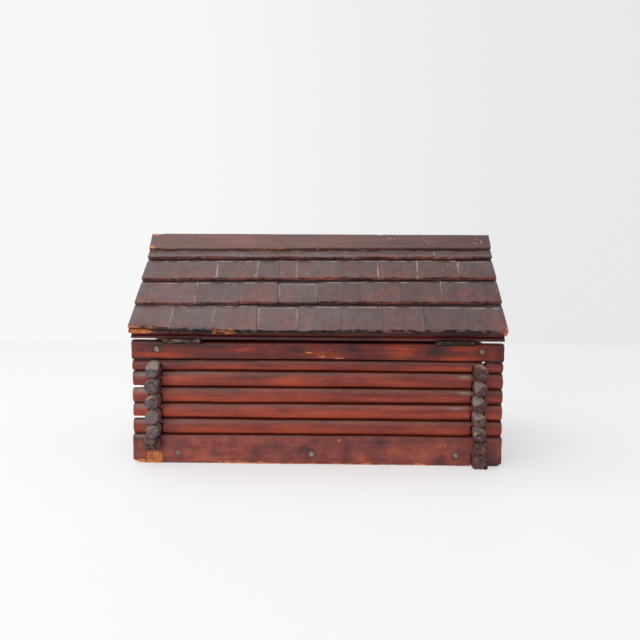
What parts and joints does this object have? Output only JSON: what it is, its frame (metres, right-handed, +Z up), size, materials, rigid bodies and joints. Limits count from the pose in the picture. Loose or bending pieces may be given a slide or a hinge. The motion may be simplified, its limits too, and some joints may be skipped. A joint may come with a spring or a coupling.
{
  "type": "sewing box",
  "caption": "Wooden sewing box shaped as a log cabin, with notched log walls and a shingled gable roof that opens as the lid on butt hinges.",
  "frame": {"origin": "middle of the bounding box's underside, on the ground", "axes": "+X to the right along the ridge when the hinged rear wall is looked at, +Y from the hinged rear wall to the front wall, +Z up"},
  "size_m": [0.378, 0.226, 0.235],
  "materials": {
    "plain_wood": "bare planed softwood",
    "stained_logs": "worn red-brown varnish stain on whittled logs",
    "stained_boards": "worn red-brown varnish stain on sawn boards",
    "shingle_wood": "grey-brown aged varnish on thin shingles",
    "hinge_brass": "dark tarnished brass",
    "pin_steel": "dull steel",
    "nail_steel": "dull darkened nail heads"
  },
  "bodies": {
    "cabin": {"floor_board": "plain_wood", "lining_boards": "plain_wood", "rear_base_board": "stained_boards", "front_base_board": "stained_boards", "left_base_board": "stained_boards", "right_base_board": "stained_boards", "rear_log_1": "stained_logs", "rear_log_2": "stained_logs", "rear_log_3": "stained_logs", "rear_log_4": "stained_logs", "rear_log_5": "stained_logs", "front_log_1": "stained_logs", "front_log_2": "stained_logs", "front_log_3": "stained_logs", "front_log_4": "stained_logs", "front_log_5": "stained_logs", "left_log_1": "stained_logs", "left_log_2": "stained_logs", "left_log_3": "stained_logs", "left_log_4": "stained_logs", "left_log_5": "stained_logs", "right_log_1": "stained_logs", "right_log_2": "stained_logs", "right_log_3": "stained_logs", "right_log_4": "stained_logs", "right_log_5": "stained_logs", "rear_top_board": "stained_boards", "front_top_board": "stained_boards", "left_top_board": "stained_boards", "right_top_board": "stained_boards", "base_board_nails": "nail_steel", "top_board_nails": "nail_steel", "left_hinge_body_leaf": "hinge_brass", "left_hinge_pin": "pin_steel", "right_hinge_body_leaf": "hinge_brass", "right_hinge_pin": "pin_steel", "hinge_body_screws": "hinge_brass"},
    "lid": {"rear_lid_rail": "stained_boards", "front_lid_rail": "stained_boards", "left_gable_board": "stained_boards", "right_gable_board": "stained_boards", "rear_roof_board": "stained_boards", "front_roof_board": "stained_boards", "rear_starter_strip": "shingle_wood", "front_starter_strip": "shingle_wood", "rear_shingles_1": "shingle_wood", "rear_shingles_2": "shingle_wood", "rear_shingles_3": "shingle_wood", "rear_shingles_4": "shingle_wood", "front_shingles_1": "shingle_wood", "front_shingles_2": "shingle_wood", "front_shingles_3": "shingle_wood", "front_shingles_4": "shingle_wood", "rear_ridge_board": "shingle_wood", "front_ridge_board": "shingle_wood", "left_hinge_lid_leaf": "hinge_brass", "right_hinge_lid_leaf": "hinge_brass", "hinge_lid_screws": "hinge_brass"}
  },
  "joints": [
    {"name": "lid_hinge", "type": "hinge", "parent": "cabin", "child": "lid", "pos_m": [0, -0.1029, 0.1261], "axis": [1, 0, 0], "range_deg": [0, 165]}
  ]
}
